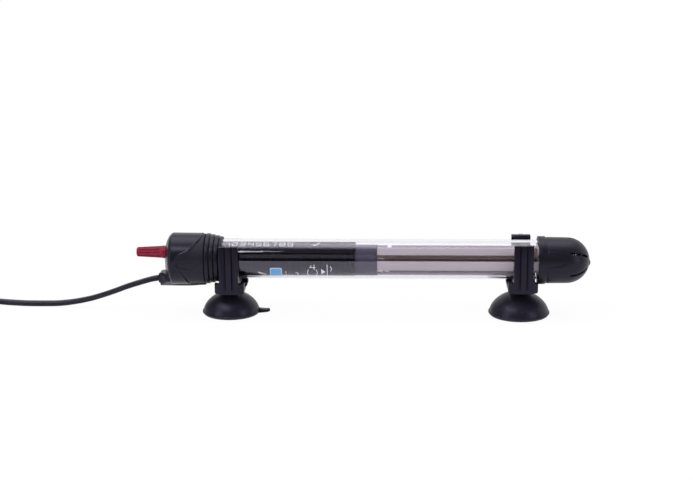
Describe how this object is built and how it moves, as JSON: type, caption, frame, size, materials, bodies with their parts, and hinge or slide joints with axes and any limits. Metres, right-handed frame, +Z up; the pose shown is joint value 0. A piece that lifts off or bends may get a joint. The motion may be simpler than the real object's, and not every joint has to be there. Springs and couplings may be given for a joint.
{
  "type": "submersible aquarium heater",
  "caption": "Glass tube heater for an aquarium with a ribbed black head, red adjusting knob, slotted guard and two clips on suction cups, with its flat cord and plug.",
  "frame": {"origin": "on the surface that the two suction cups stand on, under the middle of the object's length and width without its cord", "axes": "+X along the glass tube from the knob to the guard's nose, +Y to the back, +Z up"},
  "size_m": [0.6029, 0.045, 0.0497],
  "materials": {
    "clear_glass": "polished",
    "black_plastic": "satin",
    "matte_black_plastic": "matte",
    "black_rubber": "satin",
    "seal_rubber": "matte",
    "red_plastic": "satin",
    "brass": "satin",
    "copper_leads": "satin",
    "frame_plastic": "matte",
    "bimetal": "satin",
    "silver_contact": "polished",
    "magnet_steel": "satin",
    "blue_epoxy": "gloss",
    "printed_sleeve": "matte",
    "dark_grey_plastic": "matte",
    "mauve_ceramic": "matte",
    "heating_alloy": "satin",
    "plated_steel": "satin",
    "mineral_fibre": "matte",
    "cord_pvc": "satin",
    "plated_brass": "satin"
  },
  "bodies": {
    "heater": {"glass_tube": "clear_glass", "head_shell": "black_plastic", "seal_collar": "black_rubber", "tube_bung": "seal_rubber", "cable_gland": "black_rubber", "cord_end": "cord_pvc", "supply_leads": "copper_leads", "thermostat_frame": "frame_plastic", "bimetal_strip": "bimetal", "contact_arm": "bimetal", "moving_contact": "silver_contact", "fixed_contact": "silver_contact", "magnet": "magnet_steel", "suppressor": "blue_epoxy", "sleeve": "printed_sleeve", "element_holder": "dark_grey_plastic", "ceramic_core": "mauve_ceramic", "heating_wire": "heating_alloy", "terminal_crimps": "plated_steel", "element_leads": "plated_steel", "end_cushion": "mineral_fibre", "guard_cap": "matte_black_plastic", "mains_cord": "cord_pvc", "cord_hank": "cord_pvc", "cord_tie": "matte_black_plastic", "plug_lead": "cord_pvc", "plug_body": "black_rubber", "plug_pins": "plated_brass"},
    "knob_set": {"knob": "red_plastic", "knob_spindle": "brass", "spindle_seal": "seal_rubber"},
    "slider": {"adjust_slider": "frame_plastic"},
    "left_clip": {"clip_left": "matte_black_plastic"},
    "right_clip": {"clip_right": "matte_black_plastic"},
    "left_cup": {"suction_cup_left": "black_rubber"},
    "right_cup": {"suction_cup_right": "black_rubber"}
  },
  "joints": [
    {"name": "knob_turn", "type": "hinge", "parent": "heater", "child": "knob_set", "pos_m": [-0.119, 0, 0.0379], "axis": [-1, 0, 0], "range_deg": [-150, 150]},
    {"name": "slider_travel", "type": "slide", "parent": "heater", "child": "slider", "axis": [1, 0, 0], "range_m": [-0.00033333, 0.00033333]},
    {"name": "left_clip_slide", "type": "slide", "parent": "heater", "child": "left_clip", "axis": [1, 0, 0], "range_m": [0, 0.06]},
    {"name": "right_clip_slide", "type": "slide", "parent": "heater", "child": "right_clip", "axis": [1, 0, 0], "range_m": [-0.06, 0]},
    {"name": "left_cup_spin", "type": "hinge", "parent": "left_clip", "child": "left_cup", "pos_m": [-0.0804, 0, 0.0158], "axis": [0, 0, 1], "continuous": true},
    {"name": "right_cup_spin", "type": "hinge", "parent": "right_clip", "child": "right_cup", "pos_m": [0.0939, 0, 0.0176], "axis": [0, 0, 1], "continuous": true}
  ],
  "couplings": [
    {"joint": "knob_turn", "follows": "slider_travel", "rad_per_m": 7854}
  ]
}
